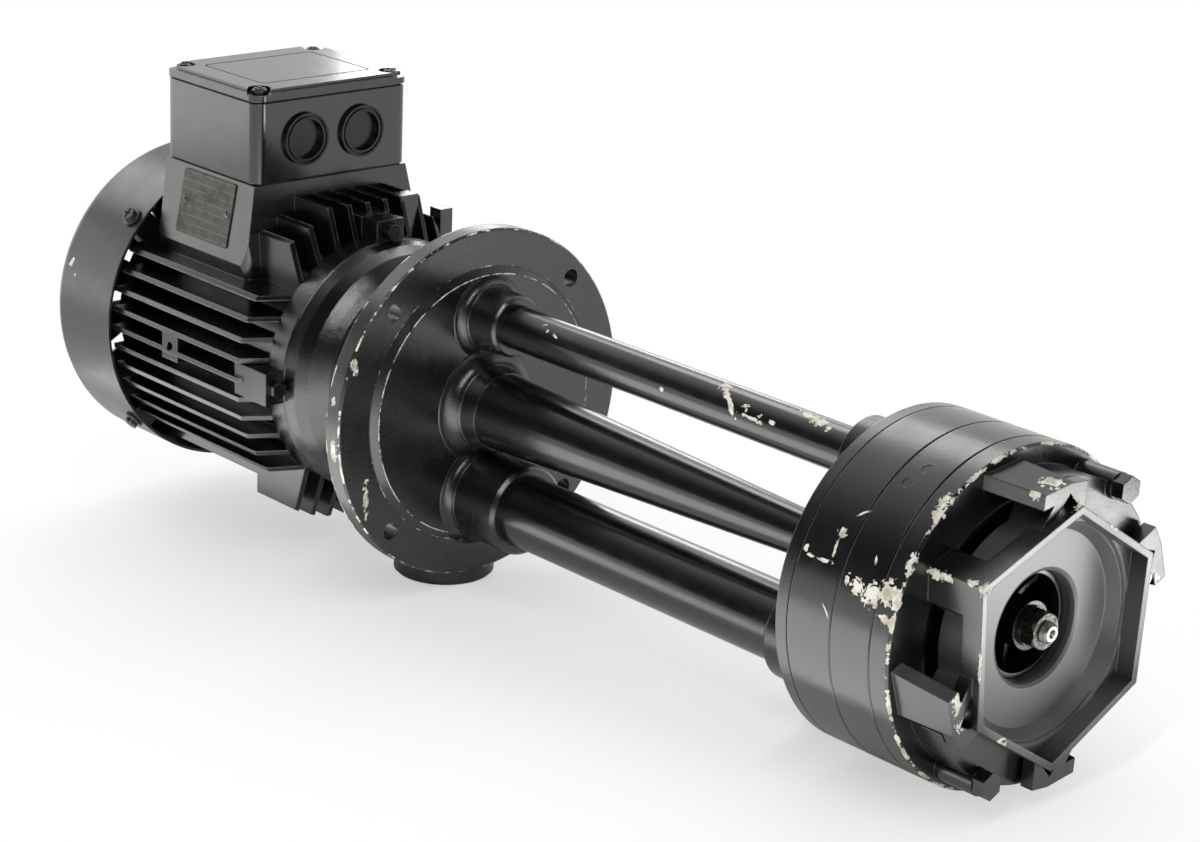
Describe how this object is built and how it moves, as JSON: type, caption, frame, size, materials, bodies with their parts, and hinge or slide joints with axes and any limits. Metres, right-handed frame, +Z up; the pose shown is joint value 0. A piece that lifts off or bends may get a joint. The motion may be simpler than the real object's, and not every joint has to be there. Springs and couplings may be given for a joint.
{
  "type": "immersion pump",
  "caption": "Horizontal immersion coolant pump with finned motor, mounting flange, column with two pipes and a staged pump head.",
  "frame": {"origin": "centre of the mounting flange's tank-side face, on the shaft axis", "axes": "+X along the shaft from the motor towards the suction end, +Z up towards the terminal box, +Y level"},
  "size_m": [0.647, 0.18, 0.2387],
  "materials": {
    "black_paint": "satin",
    "cowl_paint": "satin",
    "worn_head_paint": "satin",
    "pipe_paint": "gloss",
    "steel": "turned",
    "zinc_steel": "dulled zinc plating",
    "electrical_steel": "laminated",
    "copper": "enamelled copper wire",
    "bronze": "turned bronze",
    "brass": "bright",
    "seal_rubber": "matte",
    "plastic": "matte",
    "insulation": "matte",
    "plate_metal": "dulled"
  },
  "bodies": {
    "pump_body": {"mounting_flange": "black_paint", "shaft_column": "pipe_paint", "vent_pipe": "pipe_paint", "delivery_pipe": "pipe_paint", "shaft_seal": "seal_rubber", "column_bushing": "bronze", "back_cover": "black_paint", "stage_casing_2": "worn_head_paint", "stage_casing_1": "worn_head_paint", "stage_diaphragm": "black_paint", "suction_cover": "worn_head_paint", "cover_bolts": "black_paint", "casing_plugs": "zinc_steel", "drive_bearing_outer": "steel", "drive_bearing_balls": "steel", "rear_bearing_outer": "steel", "rear_bearing_balls": "steel", "drive_end_shield": "black_paint", "shield_bolts": "zinc_steel", "stator_housing": "black_paint", "stator_core": "electrical_steel", "stator_winding": "copper", "rear_end_shield": "black_paint", "fan_cowl": "cowl_paint", "cowl_screws": "zinc_steel", "box_gasket": "seal_rubber", "terminal_box": "black_paint", "lid_gasket": "seal_rubber", "terminal_lid": "black_paint", "lid_screws": "zinc_steel", "entry_plugs": "plastic", "terminal_block": "insulation", "terminal_studs": "brass", "nameplate": "plate_metal", "nameplate_rivets": "zinc_steel"},
    "rotor": {"shaft": "steel", "rotor_core": "electrical_steel", "fan": "plastic", "impeller_1": "black_paint", "impeller_2": "black_paint", "spacer_sleeve": "steel", "impeller_nut": "zinc_steel", "drive_bearing_inner": "steel", "rear_bearing_inner": "steel"}
  },
  "joints": [
    {"name": "shaft_turn", "type": "hinge", "parent": "pump_body", "child": "rotor", "pos_m": [0, 0, 0], "axis": [1, 0, 0], "continuous": true}
  ]
}
